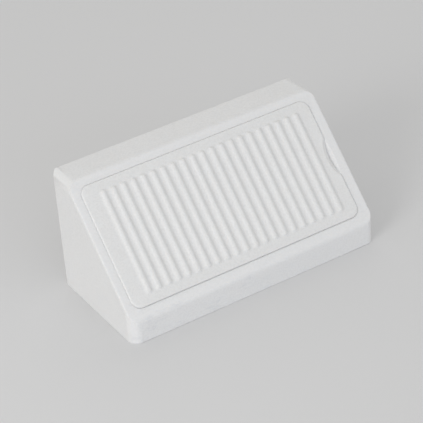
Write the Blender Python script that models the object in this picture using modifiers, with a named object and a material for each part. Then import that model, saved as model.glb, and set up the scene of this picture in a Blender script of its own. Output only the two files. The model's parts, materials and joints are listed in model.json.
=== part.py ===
"""Door stop: a wedge-shaped plastic housing with a ribbed cover plate over its fixing screws.

The housing is screwed to the floor through its base. Two rubber buffers in its tall back wall meet a door.
The cover plate lies in the sloping front: it hooks in at its left end and is prised out at its right end.

Frame: +X along the wedge to the right, +Y from the sloping front to the back wall, +Z up.
The origin is the centre of the base's footprint, on the floor.
"""

import math

import bmesh
import bpy
from mathutils import Matrix, Vector

MM = 0.001

# Driving dimensions of the wedge
LENGTH = 63 * MM
DEPTH = 30.5 * MM
HEIGHT = 29 * MM
FRONT_HEIGHT = 5.5 * MM
TOP_DEPTH = 7.4 * MM
WALL = 2.0 * MM

# Edge radii of the housing: its upright corners, the ends of its top, and the slope's ends, foot and head
CORNER_RADIUS = 2.6 * MM
TOP_END_RADIUS = 2.6 * MM
SLOPE_END_RADIUS = 0.5 * MM
SLOPE_FOOT_RADIUS = 1.8 * MM
SLOPE_HEAD_RADIUS = 1.2 * MM
BACK_RADIUS = 0.9 * MM
ROUND_SEGMENTS = 4

# Cover plate and the seat it lies in, a little left of the wedge's middle
COVER_LENGTH = 58.3 * MM
COVER_HEIGHT = 28.5 * MM
COVER_THICKNESS = 1.9 * MM
COVER_PROUD = 0.3 * MM
COVER_RADIUS = 2.2 * MM
COVER_EDGE = 0.25 * MM
COVER_GAP = 0.1 * MM
COVER_OFFSET = -0.3 * MM
SEAT_GAP = 0.3 * MM
SEAT_LOWER_MARGIN = 2.45 * MM
LEDGE_WIDTH = 1.0 * MM
LEDGE_THICKNESS = 1.2 * MM

# Grip ribs on the cover plate
RIB_COUNT = 21
RIB_PITCH = 2.47 * MM
RIB_LENGTH = 24.0 * MM
RIB_WIDTH = 1.7 * MM
RIB_RISE = 0.42 * MM
RIB_SINK = 0.1 * MM

# Finger notch at the cover's right end: the rim reaches into the cover as a lip, with a ramp down to its tip
NOTCH_LENGTH = 9.2 * MM
NOTCH_IN_COVER = 1.7 * MM
NOTCH_IN_RIM = 0.4 * MM
NOTCH_DEPTH = 1.1 * MM
LIP_LENGTH = 8.2 * MM
LIP_REACH = 0.85 * MM

# Below the cover: hooked tabs at its left end, a snap tongue at its right end, and stiffening bars
TAB_SPREAD = 9.0 * MM
TAB_WIDTH = 4.0 * MM
TAB_THICKNESS = 1.2 * MM
TAB_CLEARANCE = 0.2 * MM
TAB_LEVEL = -4.7 * MM
TOE_REACH = 0.5 * MM
TOE_LENGTH = 1.3 * MM
TOE_THICKNESS = 1.3 * MM
TONGUE_WIDTH = 8.0 * MM
TONGUE_THICKNESS = 1.1 * MM
TONGUE_CLEARANCE = 0.8 * MM
TONGUE_LEVEL = -5.0 * MM
NOSE_CLEARANCE = 0.35 * MM
NOSE_LENGTH = 0.85 * MM
NOSE_THICKNESS = 1.0 * MM
NOSE_RISE = 0.4 * MM
BAR_LENGTH = 48.0 * MM
BAR_SPREAD = 10.6 * MM
BAR_THICKNESS = 1.2 * MM
BAR_LEVEL = -2.2 * MM

# Floor screws, 3.5 x 16 mm with pan heads, started in their holes, and their washers
SCREW_X = 21 * MM
SCREW_Y = 3.2 * MM
SCREW_LENGTH = 16 * MM
SCREW_TIP_Z = 0.3 * MM
THREAD_RADIUS = 1.75 * MM
CORE_RADIUS = 1.15 * MM
NECK_RADIUS = 1.5 * MM
THREAD_PITCH = 1.5 * MM
THREAD_FOOT = 0.5 * MM
THREAD_LENGTH = 11.5 * MM
TIP_LENGTH = 2.5 * MM
HEAD_RADIUS = 3.45 * MM
HEAD_HEIGHT = 2.2 * MM
DOME_HEIGHT = 1.4 * MM
RECESS_LENGTH = 3.8 * MM
RECESS_WIDTH = 0.8 * MM
RECESS_DEPTH = 1.4 * MM
WASHER_OUTER_RADIUS = 4.0 * MM
WASHER_INNER_RADIUS = 2.1 * MM
WASHER_THICKNESS = 0.8 * MM
WASHER_CHAMFER = 0.2 * MM
WASHER_GAP = 0.2 * MM

# Screw sleeves that stand on the base
SLEEVE_OUTER_RADIUS = 5.8 * MM
SLEEVE_INNER_RADIUS = 4.4 * MM
SLEEVE_TOP = 11 * MM
BOSS_TOP = 3.0 * MM
SCREW_HOLE_RADIUS = 2.1 * MM
WEB_THICKNESS = 1.6 * MM
GUSSET_TOP = 22 * MM
GUSSET_FRONT = -4 * MM

# Rubber buffers pressed into the back wall
BUFFER_X = 12 * MM
BUFFER_Z = 18 * MM
BUFFER_RADIUS = 7.0 * MM
BUFFER_HEIGHT = 3.5 * MM
BUFFER_ROUND = 1.2 * MM
BUFFER_GAP = 0.3 * MM
STEM_RADIUS = 2.5 * MM
STEM_HOLE_RADIUS = 2.8 * MM
BARB_RADIUS = 3.7 * MM
BARB_LENGTH = 3.2 * MM
BARB_SHOULDER_RADIUS = 3.15 * MM
BARB_SHOULDER_LENGTH = 1.1 * MM
BARB_TIP_RADIUS = 1.75 * MM

# Worked out from the driving dimensions
BACK = DEPTH / 2
RUN = DEPTH - TOP_DEPTH
RISE = HEIGHT - FRONT_HEIGHT
SLOPE_ANGLE = math.atan2(RISE, RUN)
SLOPE_LENGTH = math.hypot(RUN, RISE)
SEAT_LENGTH = COVER_LENGTH + 2 * COVER_GAP
SEAT_HEIGHT = COVER_HEIGHT + 2 * COVER_GAP
SEAT_RADIUS = COVER_RADIUS + COVER_GAP
COVER_UNDERSIDE = COVER_PROUD - COVER_THICKNESS
SEAT_LEVEL = COVER_UNDERSIDE - SEAT_GAP
LEDGE_LEVEL = SEAT_LEVEL - LEDGE_THICKNESS
SEAT_MIDDLE = SEAT_LOWER_MARGIN + SEAT_HEIGHT / 2
CLEAR = 1 * MM  # how far a cutter runs past the face it cuts


def slope_frame():
    """Places local X, Y and Z along the wedge, up the slope and out of it, level with the seat's middle."""
    up_slope = Vector((0, math.cos(SLOPE_ANGLE), math.sin(SLOPE_ANGLE)))
    outward = Vector((0, -math.sin(SLOPE_ANGLE), math.cos(SLOPE_ANGLE)))
    middle = Vector((0, -BACK, FRONT_HEIGHT)) + up_slope * SEAT_MIDDLE
    rotation = Matrix((Vector((1, 0, 0)), up_slope, outward)).transposed()
    return Matrix.Translation(middle) @ rotation.to_4x4()


def seat_frame():
    """The slope's frame, moved to the middle of the cover's seat."""
    return slope_frame() @ Matrix.Translation((COVER_OFFSET, 0, 0))


def profile_frame():
    """Places a flat outline's local X, Y and Z along the row's Y, Z and X."""
    return Matrix(((0, 0, 1, 0), (1, 0, 0, 0), (0, 1, 0, 0), (0, 0, 0, 1)))


# ---------------------------------------------------------------- scene and materials


def clear_scene():
    for item in list(bpy.data.objects):
        bpy.data.objects.remove(item)


def collection(name):
    made = bpy.data.collections.new(name)
    bpy.context.scene.collection.children.link(made)
    return made


def material(name, colour, roughness, metallic=0.0):
    made = bpy.data.materials.new(name)
    made.use_nodes = True
    shader = made.node_tree.nodes["Principled BSDF"]
    shader.inputs["Base Color"].default_value = (*colour, 1)
    shader.inputs["Roughness"].default_value = roughness
    shader.inputs["Metallic"].default_value = metallic
    return made


def add(mesh, name, home, frame=None):
    made = bpy.data.objects.new(name, mesh)
    home.objects.link(made)
    if frame is not None:
        made.matrix_world = frame
    return made


def finish(made, name, paint):
    """Names the object as a sub-part, paints it and shades its round faces smooth."""
    made.name = name
    made.data.name = name
    made.data.materials.clear()
    made.data.materials.append(paint)
    made.data.shade_smooth()
    made.data.set_sharp_from_angle(angle=math.radians(35))
    return made


# ---------------------------------------------------------------- basic solids


def solid_from_outline(points, thickness, name, home, frame, middle=0.0):
    """A flat outline with its thickness along the frame's local Z, centred on that Z value."""
    curve = bpy.data.curves.new(name, "CURVE")
    curve.dimensions = "2D"
    curve.fill_mode = "BOTH"
    curve.extrude = thickness / 2
    spline = curve.splines.new("POLY")
    spline.points.add(len(points) - 1)
    for point, (x, y) in zip(spline.points, points):
        point.co = (x, y, 0, 1)
    spline.use_cyclic_u = True
    guide = bpy.data.objects.new(name, curve)
    home.objects.link(guide)
    bpy.context.view_layer.update()
    graph = bpy.context.evaluated_depsgraph_get()
    mesh = bpy.data.meshes.new_from_object(guide.evaluated_get(graph))
    bpy.data.objects.remove(guide)
    shape = bmesh.new()
    shape.from_mesh(mesh)
    bmesh.ops.remove_doubles(shape, verts=shape.verts, dist=0.00001)
    bmesh.ops.translate(shape, verts=shape.verts, vec=(0, 0, middle))
    bmesh.ops.recalc_face_normals(shape, faces=shape.faces)
    shape.to_mesh(mesh)
    shape.free()
    return add(mesh, name, home, frame)


def rounded_rectangle(width, height, radius, segments=6):
    points = []
    for corner, (side_x, side_y) in enumerate(((1, 1), (-1, 1), (-1, -1), (1, -1))):
        centre_x = side_x * (width / 2 - radius)
        centre_y = side_y * (height / 2 - radius)
        for step in range(segments + 1):
            angle = math.radians(90) * (corner + step / segments)
            points.append((centre_x + radius * math.cos(angle), centre_y + radius * math.sin(angle)))
    return points


def rounded_outline(corners, radii):
    """Replaces each corner of an anticlockwise outline with an arc of its radius. Radius 0 stays sharp."""
    points = []
    for index, (corner, radius) in enumerate(zip(corners, radii)):
        corner = Vector(corner)
        if radius == 0:
            points.append(corner)
            continue
        back = (Vector(corners[index - 1]) - corner).normalized()
        ahead = (Vector(corners[(index + 1) % len(corners)]) - corner).normalized()
        half_angle = back.angle(ahead) / 2
        centre = corner + (back + ahead).normalized() * radius / math.sin(half_angle)
        start = corner + back * radius / math.tan(half_angle) - centre
        turn = math.pi - 2 * half_angle
        for step in range(ROUND_SEGMENTS + 1):
            points.append(centre + Matrix.Rotation(turn * step / ROUND_SEGMENTS, 2) @ start)
    return points


def arch_outline(top, bottom, radius):
    """The wedge's length with rounded top corners, a little wider below them, as (x, height) points."""
    points = [(-LENGTH / 2 - CLEAR, bottom), (LENGTH / 2 + CLEAR, bottom)]
    for side, turn in ((1, 0), (-1, 90)):
        for step in range(ROUND_SEGMENTS + 1):
            angle = math.radians(turn + 90 * step / ROUND_SEGMENTS)
            x = side * (LENGTH / 2 - radius) + radius * math.cos(angle)
            points.append((x, top - radius + radius * math.sin(angle)))
    return points


def box(low, high, name, home, frame=None):
    """A box between two corners, in the given frame."""
    low, high = Vector(low), Vector(high)
    shape = bmesh.new()
    bmesh.ops.create_cube(shape, size=1)
    bmesh.ops.scale(shape, verts=shape.verts, vec=high - low)
    bmesh.ops.translate(shape, verts=shape.verts, vec=(low + high) / 2)
    mesh = bpy.data.meshes.new(name)
    shape.to_mesh(mesh)
    shape.free()
    return add(mesh, name, home, frame)


def cone(low_radius, high_radius, low, high, name, home, frame, segments=32):
    """A cone or cylinder along the frame's local Z between two levels."""
    shape = bmesh.new()
    bmesh.ops.create_cone(
        shape, cap_ends=True, segments=segments, radius1=low_radius, radius2=high_radius, depth=high - low
    )
    bmesh.ops.translate(shape, verts=shape.verts, vec=(0, 0, (low + high) / 2))
    mesh = bpy.data.meshes.new(name)
    shape.to_mesh(mesh)
    shape.free()
    return add(mesh, name, home, frame)


def turned(profile, name, home, frame, segments=24):
    """A profile of (radius, height) points, from the top down, turned about the frame's local Z."""
    shape = bmesh.new()
    points = [shape.verts.new((radius, 0, height)) for radius, height in profile]
    for first, second in zip(points, points[1:]):
        shape.edges.new((first, second))
    mesh = bpy.data.meshes.new(name)
    shape.to_mesh(mesh)
    shape.free()
    made = add(mesh, name, home, frame)
    screw = made.modifiers.new("turn", "SCREW")
    screw.axis = "Z"
    screw.steps = segments
    screw.render_steps = segments
    screw.use_merge_vertices = True
    screw.merge_threshold = 0.00001
    return made


def boolean(made, other, operation):
    """Cuts, or joins, the other shape. The other shape is a cutter or a guide, and is not a sub-part."""
    other.hide_render = True
    other.display_type = "WIRE"
    modifier = made.modifiers.new(other.name, "BOOLEAN")
    modifier.operation = operation
    modifier.solver = "EXACT"
    modifier.object = other


def along(origin, direction):
    """A frame at origin whose local Z points along direction."""
    return Matrix.Translation(origin) @ Vector((0, 0, 1)).rotation_difference(direction).to_matrix().to_4x4()


# ---------------------------------------------------------------- housing


def wedge_outline():
    """The housing's end view as (y, z) corners, round from the front foot."""
    return (
        (-BACK, 0),
        (BACK, 0),
        (BACK, HEIGHT),
        (BACK - TOP_DEPTH, HEIGHT),
        (-BACK, FRONT_HEIGHT),
    )


def cavity_outline():
    """The hollow's end view: a wall inside the base, back, top and front, open below the ledge."""
    front = -BACK + WALL
    top = HEIGHT - WALL
    along_slope = Vector((math.cos(SLOPE_ANGLE), math.sin(SLOPE_ANGLE)))
    outward = Vector((-math.sin(SLOPE_ANGLE), math.cos(SLOPE_ANGLE)))
    start = Vector((-BACK, FRONT_HEIGHT)) + outward * LEDGE_LEVEL
    low = start + along_slope * ((front - start.x) / along_slope.x)
    high = start + along_slope * ((top - start.y) / along_slope.y)
    return ((front, WALL), (BACK - WALL, WALL), (BACK - WALL, top), (high.x, high.y), (low.x, low.y))


def rounded_wedge(parts, cutters):
    """The end view run along the wedge, then trimmed to round its upright, top and slope end edges."""
    made = solid_from_outline(
        rounded_outline(wedge_outline(), (0, 0, BACK_RADIUS, SLOPE_HEAD_RADIUS, SLOPE_FOOT_RADIUS)),
        LENGTH + 2 * CLEAR,
        "wedge",
        parts,
        profile_frame(),
    )
    plan = solid_from_outline(
        rounded_rectangle(LENGTH, DEPTH, CORNER_RADIUS, ROUND_SEGMENTS),
        HEIGHT + 2 * CLEAR,
        "plan_trim",
        cutters,
        Matrix.Translation((0, 0, HEIGHT / 2)),
    )
    facing_back = Matrix.Rotation(math.radians(90), 4, "X")
    elevation = solid_from_outline(
        arch_outline(HEIGHT, -CLEAR, TOP_END_RADIUS),
        DEPTH + 2 * CLEAR,
        "elevation_trim",
        cutters,
        facing_back,
    )
    slope_trim = solid_from_outline(
        arch_outline(0, -HEIGHT - CLEAR, SLOPE_END_RADIUS),
        2 * SLOPE_LENGTH,
        "slope_trim",
        cutters,
        slope_frame() @ facing_back,
    )
    for trim in (plan, elevation, slope_trim):
        boolean(made, trim, "INTERSECT")
    return made


def cut_cover_seat(made, cutters):
    """The seat around the rim's lip, the throat inside the seat's ledge, and the finger notch's ramp."""
    seat = seat_frame()
    levels = (
        ("seat", 0, SEAT_LEVEL, CLEAR),
        ("throat", LEDGE_WIDTH, LEDGE_LEVEL - CLEAR, SEAT_LEVEL + CLEAR / 2),
    )
    for name, inset, low, high in levels:
        outline = rounded_rectangle(SEAT_LENGTH - 2 * inset, SEAT_HEIGHT - 2 * inset, SEAT_RADIUS - inset)
        cutter = solid_from_outline(outline, high - low, name, cutters, seat, (low + high) / 2)
        if name == "seat":
            lip = notch_cone("lip", LIP_LENGTH, LIP_REACH, 1, 0, (low - CLEAR, high + CLEAR), cutters)
            boolean(cutter, lip, "DIFFERENCE")
        boolean(made, cutter, "DIFFERENCE")
    taper = (NOTCH_IN_RIM + LIP_REACH) / NOTCH_DEPTH
    ramp = notch_cone("ramp", NOTCH_LENGTH, NOTCH_IN_RIM, -1, taper, (-NOTCH_DEPTH, CLEAR), cutters)
    limit = notch_cone("ramp_limit", NOTCH_LENGTH, NOTCH_IN_COVER, 1, 0, (-2 * CLEAR, 2 * CLEAR), cutters)
    boolean(ramp, limit, "INTERSECT")
    boolean(made, ramp, "DIFFERENCE")


def notch_cone(name, length, reach, side, taper, levels, cutters):
    """A cone out of the slope. At level 0 its edge passes the seat's right end by reach, over the length."""
    half = length / 2
    radius = (half**2 + reach**2) / (2 * reach)
    frame = seat_frame() @ Matrix.Translation((SEAT_LENGTH / 2 + side * (radius - reach), 0, 0))
    low, high = levels
    low_radius = radius + taper * low
    high_radius = radius + taper * high
    return cone(low_radius, high_radius, low, high, name, cutters, frame, segments=120)


def add_sleeves(made, cutters):
    """Screw sleeves with their webs to the back and end walls, and the gusset of the back wall."""
    floor_level = WALL / 2
    web_top = SLEEVE_TOP - CLEAR
    half_web = WEB_THICKNESS / 2
    for side, name in ((-1, "left"), (1, "right")):
        foot = Matrix.Translation((side * SCREW_X, SCREW_Y, 0))
        web_start, web_end = sorted((side * SLEEVE_INNER_RADIUS, side * (LENGTH / 2 - SCREW_X - WALL / 2)))
        outer = SLEEVE_OUTER_RADIUS
        sleeve = cone(outer, outer, floor_level, SLEEVE_TOP, f"sleeve_{name}", cutters, foot)
        back_web = box(
            (-half_web, SLEEVE_INNER_RADIUS, floor_level),
            (half_web, BACK - SCREW_Y - WALL / 2, web_top),
            f"back_web_{name}",
            cutters,
            foot,
        )
        end_web = box(
            (web_start, -half_web, floor_level),
            (web_end, half_web, web_top),
            f"end_web_{name}",
            cutters,
            foot,
        )
        for piece in (sleeve, back_web, end_web):
            boolean(made, piece, "UNION")
        for radius, low, high, role in (
            (SLEEVE_INNER_RADIUS, BOSS_TOP, SLEEVE_TOP + CLEAR, "bore"),
            (SCREW_HOLE_RADIUS, -CLEAR, BOSS_TOP + CLEAR, "hole"),
        ):
            boolean(made, cone(radius, radius, low, high, f"{role}_{name}", cutters, foot), "DIFFERENCE")
    outline = ((GUSSET_FRONT, floor_level), (BACK - WALL / 2, floor_level), (BACK - WALL / 2, GUSSET_TOP))
    gusset = solid_from_outline(outline, WEB_THICKNESS, "gusset", cutters, profile_frame())
    boolean(made, gusset, "UNION")


def cut_buffer_holes(made, cutters):
    for side, name in ((-1, "left"), (1, "right")):
        frame = along(Vector((side * BUFFER_X, BACK, BUFFER_Z)), Vector((0, 1, 0)))
        radius = STEM_HOLE_RADIUS
        hole = cone(radius, radius, -WALL - CLEAR, CLEAR, f"buffer_hole_{name}", cutters, frame, 24)
        boolean(made, hole, "DIFFERENCE")


def make_housing(parts, cutters, paint):
    made = rounded_wedge(parts, cutters)
    cavity = solid_from_outline(cavity_outline(), LENGTH - 2 * WALL, "cavity", cutters, profile_frame())
    boolean(made, cavity, "DIFFERENCE")
    cut_cover_seat(made, cutters)
    add_sleeves(made, cutters)
    cut_buffer_holes(made, cutters)
    return finish(made, "housing", paint)


# ---------------------------------------------------------------- cover plate


def rib(name, x, home):
    """A half-round rib with round ends that runs up the slope. The row of ribs is centred on the wedge."""
    shape = bmesh.new()
    bmesh.ops.create_uvsphere(shape, u_segments=12, v_segments=8, radius=RIB_WIDTH / 2)
    bmesh.ops.rotate(shape, verts=shape.verts, matrix=Matrix.Rotation(math.radians(90), 3, "X"))
    straight = (RIB_LENGTH - RIB_WIDTH) / 2
    for vertex in shape.verts:
        vertex.co.y += math.copysign(straight, vertex.co.y)
        vertex.co.z *= (RIB_RISE + RIB_SINK) / (RIB_WIDTH / 2)
    mesh = bpy.data.meshes.new(name)
    shape.to_mesh(mesh)
    shape.free()
    return add(mesh, name, home, slope_frame() @ Matrix.Translation((x, 0, COVER_PROUD - RIB_SINK)))


def cover_fittings(cutters):
    """The hooked tabs, the snap tongue with its nose, and the stiffening bars, in the seat's frame."""
    throat = SEAT_LENGTH / 2 - LEDGE_WIDTH
    inside = COVER_UNDERSIDE + COVER_THICKNESS / 4
    leg_start = -throat + TAB_CLEARANCE
    toe_start = -throat - TOE_REACH
    tongue_end = throat - TONGUE_CLEARANCE
    nose_end = throat - NOSE_CLEARANCE
    nose_low = TONGUE_LEVEL + NOSE_RISE
    boxes = [
        ("tongue", tongue_end - TONGUE_THICKNESS, tongue_end, 0, TONGUE_WIDTH, TONGUE_LEVEL, inside),
        ("nose", nose_end - NOSE_LENGTH, nose_end, 0, TONGUE_WIDTH, nose_low, nose_low + NOSE_THICKNESS),
    ]
    leg_end = leg_start + TAB_THICKNESS
    toe_end = toe_start + TOE_LENGTH
    toe_top = TAB_LEVEL + TOE_THICKNESS
    half_bar = BAR_LENGTH / 2
    for spot, side in (("upper", 1), ("lower", -1)):
        tab_y, bar_y = side * TAB_SPREAD, side * BAR_SPREAD
        boxes += [
            (f"tab_leg_{spot}", leg_start, leg_end, tab_y, TAB_WIDTH, TAB_LEVEL, inside),
            (f"tab_toe_{spot}", toe_start, toe_end, tab_y, TAB_WIDTH, TAB_LEVEL, toe_top),
            (f"bar_{spot}", -half_bar, half_bar, bar_y, BAR_THICKNESS, BAR_LEVEL, inside),
        ]
    return [
        box((start, y - width / 2, low), (end, y + width / 2, high), name, cutters, seat_frame())
        for name, start, end, y, width, low, high in boxes
    ]


def make_cover(parts, cutters, paint):
    outline = rounded_rectangle(COVER_LENGTH, COVER_HEIGHT, COVER_RADIUS)
    middle = COVER_PROUD - COVER_THICKNESS / 2
    made = solid_from_outline(outline, COVER_THICKNESS, "plate", parts, seat_frame(), middle)
    bevel = made.modifiers.new("edge", "BEVEL")
    bevel.width = COVER_EDGE
    bevel.segments = 2
    bevel.limit_method = "ANGLE"
    bevel.angle_limit = math.radians(60)
    for number in range(RIB_COUNT):
        x = (number - (RIB_COUNT - 1) / 2) * RIB_PITCH
        boolean(made, rib(f"rib_{number + 1}", x, cutters), "UNION")
    for fitting in cover_fittings(cutters):
        boolean(made, fitting, "UNION")
    through = (COVER_UNDERSIDE - CLEAR, CLEAR)
    clearance = notch_cone("lip_clearance", LIP_LENGTH, LIP_REACH + COVER_GAP, 1, 0, through, cutters)
    reach = NOTCH_IN_COVER - COVER_PROUD
    chamfer = notch_cone("notch_chamfer", NOTCH_LENGTH, reach, 1, 1, (-NOTCH_DEPTH, CLEAR), cutters)
    for cutter in (clearance, chamfer):
        boolean(made, cutter, "DIFFERENCE")
    return finish(made, "cover_plate", paint)


# ---------------------------------------------------------------- screws and washers


def screw_profile():
    """Pan head, neck, thread rings and point, as (radius, height above the point)."""
    dome_steps = 5
    dome_foot = SCREW_LENGTH + HEAD_HEIGHT - DOME_HEIGHT
    points = []
    for step in range(dome_steps + 1):
        angle = math.radians(90) * step / dome_steps
        points.append((HEAD_RADIUS * math.sin(angle), dome_foot + DOME_HEIGHT * math.cos(angle)))
    thread_top = TIP_LENGTH + THREAD_LENGTH
    points += [(HEAD_RADIUS, SCREW_LENGTH), (NECK_RADIUS, SCREW_LENGTH), (NECK_RADIUS, thread_top)]
    for turn in range(int(THREAD_LENGTH / THREAD_PITCH)):
        crest = thread_top - (turn + 0.5) * THREAD_PITCH
        points.append((CORE_RADIUS, crest + THREAD_FOOT))
        points.append((THREAD_RADIUS, crest))
        points.append((CORE_RADIUS, crest - THREAD_FOOT))
    points.append((0, 0))
    return points


def make_screw(name, x, parts, cutters, paint):
    frame = Matrix.Translation((x, SCREW_Y, SCREW_TIP_Z))
    made = turned(screw_profile(), name, parts, frame, segments=20)
    top = SCREW_LENGTH + HEAD_HEIGHT
    low = (-RECESS_LENGTH / 2, -RECESS_WIDTH / 2, top - RECESS_DEPTH)
    high = (RECESS_LENGTH / 2, RECESS_WIDTH / 2, top + CLEAR)
    for number, turn in enumerate((45, 135)):
        blade_frame = frame @ Matrix.Rotation(math.radians(turn), 4, "Z")
        blade = box(low, high, f"{name}_recess_{number + 1}", cutters, blade_frame)
        boolean(made, blade, "DIFFERENCE")
    return finish(made, name, paint)


def make_washer(name, x, parts, paint):
    bottom = BOSS_TOP + WASHER_GAP
    top = bottom + WASHER_THICKNESS
    chamfer = WASHER_CHAMFER
    profile = (
        (WASHER_INNER_RADIUS, top),
        (WASHER_OUTER_RADIUS - chamfer, top),
        (WASHER_OUTER_RADIUS, top - chamfer),
        (WASHER_OUTER_RADIUS, bottom),
        (WASHER_INNER_RADIUS, bottom),
        (WASHER_INNER_RADIUS, top),
    )
    made = turned(profile, name, parts, Matrix.Translation((x, SCREW_Y, 0)), segments=28)
    return finish(made, name, paint)


# ---------------------------------------------------------------- buffers


def buffer_profile():
    """Round-edged disc, stem and barb as (radius, height), with the back wall's outer face at height 0."""
    base = BUFFER_GAP
    face = base + BUFFER_HEIGHT
    points = [(0, face)]
    for step in range(5):
        angle = math.radians(90) * step / 4
        radius = BUFFER_RADIUS - BUFFER_ROUND * (1 - math.sin(angle))
        points.append((radius, face - BUFFER_ROUND * (1 - math.cos(angle))))
    points.append((BUFFER_RADIUS, base))
    points.append((STEM_RADIUS, base))
    inner = -WALL - BUFFER_GAP
    points.append((STEM_RADIUS, inner))
    points.append((BARB_RADIUS, inner))
    points.append((BARB_SHOULDER_RADIUS, inner - BARB_SHOULDER_LENGTH))
    points.append((BARB_TIP_RADIUS, inner - BARB_LENGTH))
    points.append((0, inner - BARB_LENGTH))
    return points


def make_buffer(name, x, parts, paint):
    frame = along(Vector((x, BACK, BUFFER_Z)), Vector((0, 1, 0)))
    made = turned(buffer_profile(), name, parts, frame, segments=32)
    return finish(made, name, paint)


def main():
    clear_scene()
    parts = collection("door_stop")
    cutters = collection("door_stop_cutters")
    white = material("white_plastic", (0.80, 0.80, 0.79), 0.45)
    cover_white = material("white_cover_plastic", (0.82, 0.82, 0.81), 0.42)
    steel = material("zinc_plated_steel", (0.62, 0.63, 0.65), 0.35, 1.0)
    rubber = material("grey_rubber", (0.10, 0.10, 0.105), 0.8)
    make_housing(parts, cutters, white)
    make_cover(parts, cutters, cover_white)
    for side, name in ((-1, "left"), (1, "right")):
        make_screw(f"floor_screw_{name}", side * SCREW_X, parts, cutters, steel)
        make_washer(f"washer_{name}", side * SCREW_X, parts, steel)
        make_buffer(f"buffer_{name}", side * BUFFER_X, parts, rubber)


main()
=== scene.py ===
"""Door stop: the finished look of its housing, ribbed cover, floor screws, washers and buffers.

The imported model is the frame. Every size is read from it, or repeats a named size of the design.
Frame: +X along the wedge to the right, +Y from the sloping front to the back wall, +Z up, with
the origin on the floor. Lengths are in metres.
"""

import json
import math

import bmesh
import bpy
from mathutils import Matrix, Vector


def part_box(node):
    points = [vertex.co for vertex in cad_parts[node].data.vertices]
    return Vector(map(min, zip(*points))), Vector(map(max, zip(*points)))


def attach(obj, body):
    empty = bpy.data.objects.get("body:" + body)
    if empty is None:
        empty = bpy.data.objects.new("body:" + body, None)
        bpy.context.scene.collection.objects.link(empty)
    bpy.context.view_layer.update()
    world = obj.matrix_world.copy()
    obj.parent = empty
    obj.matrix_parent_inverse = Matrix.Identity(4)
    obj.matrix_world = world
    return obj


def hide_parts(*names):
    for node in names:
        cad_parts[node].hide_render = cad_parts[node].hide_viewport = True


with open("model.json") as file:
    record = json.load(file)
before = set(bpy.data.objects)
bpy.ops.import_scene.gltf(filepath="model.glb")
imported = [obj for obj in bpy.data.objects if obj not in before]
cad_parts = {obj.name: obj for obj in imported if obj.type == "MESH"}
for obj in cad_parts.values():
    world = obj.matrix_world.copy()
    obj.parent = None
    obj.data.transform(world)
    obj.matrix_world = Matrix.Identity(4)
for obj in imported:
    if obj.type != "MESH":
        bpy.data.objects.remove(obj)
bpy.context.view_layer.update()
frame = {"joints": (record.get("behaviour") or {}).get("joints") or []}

MM = 0.001
IDENTITY = Matrix.Identity(4)

# Sizes read from the frame
HOUSING_LOW, HOUSING_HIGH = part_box("housing")
COVER_LOW, COVER_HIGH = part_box("cover_plate")
SCREW_LOW, SCREW_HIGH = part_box("floor_screw_right")
WASHER_LOW, WASHER_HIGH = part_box("washer_right")
BUFFER_LOW, BUFFER_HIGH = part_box("buffer_right")
HINGE = next(joint for joint in frame["joints"] if joint["name"] == "cover_hinge")

LENGTH = HOUSING_HIGH.x - HOUSING_LOW.x
BACK = HOUSING_HIGH.y
HEIGHT = HOUSING_HIGH.z
COVER_LENGTH = COVER_HIGH.x - COVER_LOW.x
COVER_OFFSET = (COVER_LOW.x + COVER_HIGH.x) / 2

# Fineness: steps along an arc, and segments around a turned shape
ARC_STEPS = 10
EDGE_STEPS = 4
ROLL_STEPS = 5
CROWN_STEPS = 11
DOME_STEPS = 12
CUSHION_STEPS = 8
SEGMENTS = 96
HOLE_SEGMENTS = 64
WASHER_SEGMENTS = 80
SCREW_SEGMENTS = 36
CONE_SEGMENTS = 500
TAPERED_CONE_SEGMENTS = 480
MERGE_DISTANCE = MM / 2000
SLIVER = MM / 5000
SHARP_ANGLE = 32  # degrees
SCREW_SHARP_ANGLE = 40  # degrees

# Housing
FRONT_HEIGHT = 5.5 * MM
TOP_DEPTH = 7.4 * MM
WALL = 2.0 * MM
SLOPE_ANGLE = math.atan2(HEIGHT - FRONT_HEIGHT, 2 * BACK - TOP_DEPTH)
CORNER_RADIUS = 2.6 * MM
TOP_END_RADIUS = 2.6 * MM
SLOPE_END_RADIUS = 0.5 * MM
SLOPE_FOOT_RADIUS = 1.8 * MM
SLOPE_HEAD_RADIUS = 1.2 * MM
BACK_RADIUS = 0.9 * MM
FOOT_RADIUS = 0.15 * MM
INNER_RADIUS = 0.5 * MM
TRIM_REACH = HEIGHT * 1.5  # past both ends of the slope

# Cover and its seat
COVER_HEIGHT = 28.5 * MM
COVER_THICKNESS = 1.9 * MM
COVER_PROUD = 0.3 * MM
COVER_RADIUS = 2.2 * MM
COVER_EDGE = 0.4 * MM
COVER_LOWER_EDGE = 0.15 * MM
COVER_GAP = 0.1 * MM
SEAT_SHRINK = 0.08 * MM  # closes the cover's gap to a fine seam
SEAT_PLAY_LOW = 0.02 * MM  # more room below the cover than above it
SEAT_GAP = 0.3 * MM  # between the cover's underside and the ledge
SEAT_LIP = 0.56 * MM
SEAT_LIP_FINE = 0.15 * MM  # at the left end and the top
LIP_START = math.radians(45)
LIP_TURN = math.radians(80)
LEDGE_WIDTH = 1.0 * MM
LEDGE_THICKNESS = 1.2 * MM
LEDGE_EDGE = 0.2 * MM
COVER_UNDERSIDE = COVER_PROUD - COVER_THICKNESS
SEAT_LEVEL = COVER_UNDERSIDE - SEAT_GAP
LEDGE_LEVEL = SEAT_LEVEL - LEDGE_THICKNESS
SEAT_LENGTH = COVER_LENGTH + 2 * COVER_GAP
SEAT_HEIGHT = COVER_HEIGHT + 2 * COVER_GAP
SEAT_RADIUS = COVER_RADIUS + COVER_GAP

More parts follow.
